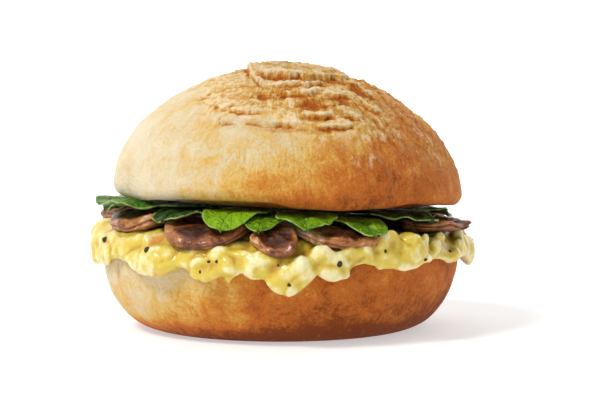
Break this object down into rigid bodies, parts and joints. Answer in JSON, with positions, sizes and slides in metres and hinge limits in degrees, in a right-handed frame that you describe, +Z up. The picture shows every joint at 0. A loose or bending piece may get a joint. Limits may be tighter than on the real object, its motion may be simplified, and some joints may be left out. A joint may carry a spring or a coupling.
{
  "type": "breakfast sandwich",
  "caption": "Round crusty roll cut in two, filled with scrambled egg that hangs over the lower half, fried mushroom slices and spinach leaves.",
  "frame": {"origin": "centre of the flat base of the roll's lower half, on the plane it stands on", "axes": "+Z up through the sandwich; +X to the right and -Y to the front as pictured"},
  "size_m": [0.1263, 0.1299, 0.0888],
  "materials": {
    "crust": "baked crust, floury on the left and brown on the right",
    "egg": "soft scrambled egg, moist",
    "mushroom": "fried mushroom, moist brown",
    "spinach": "spinach leaf, waxy green"
  },
  "bodies": {
    "root": {"heel": "crust", "crown": "crust", "egg": "egg", "mushroom_01": "mushroom", "mushroom_02": "mushroom", "mushroom_03": "mushroom", "mushroom_04": "mushroom", "mushroom_05": "mushroom", "mushroom_06": "mushroom", "mushroom_07": "mushroom", "mushroom_08": "mushroom", "mushroom_09": "mushroom", "mushroom_10": "mushroom", "mushroom_11": "mushroom", "mushroom_12": "mushroom", "mushroom_13": "mushroom", "mushroom_14": "mushroom", "mushroom_15": "mushroom", "leaf_01": "spinach", "leaf_02": "spinach", "leaf_03": "spinach", "leaf_04": "spinach", "leaf_05": "spinach", "leaf_06": "spinach", "leaf_07": "spinach", "leaf_08": "spinach", "leaf_09": "spinach", "leaf_10": "spinach", "leaf_11": "spinach", "leaf_12": "spinach", "leaf_13": "spinach", "leaf_14": "spinach", "leaf_15": "spinach", "leaf_16": "spinach", "leaf_17": "spinach", "leaf_18": "spinach"}
  },
  "joints": []
}
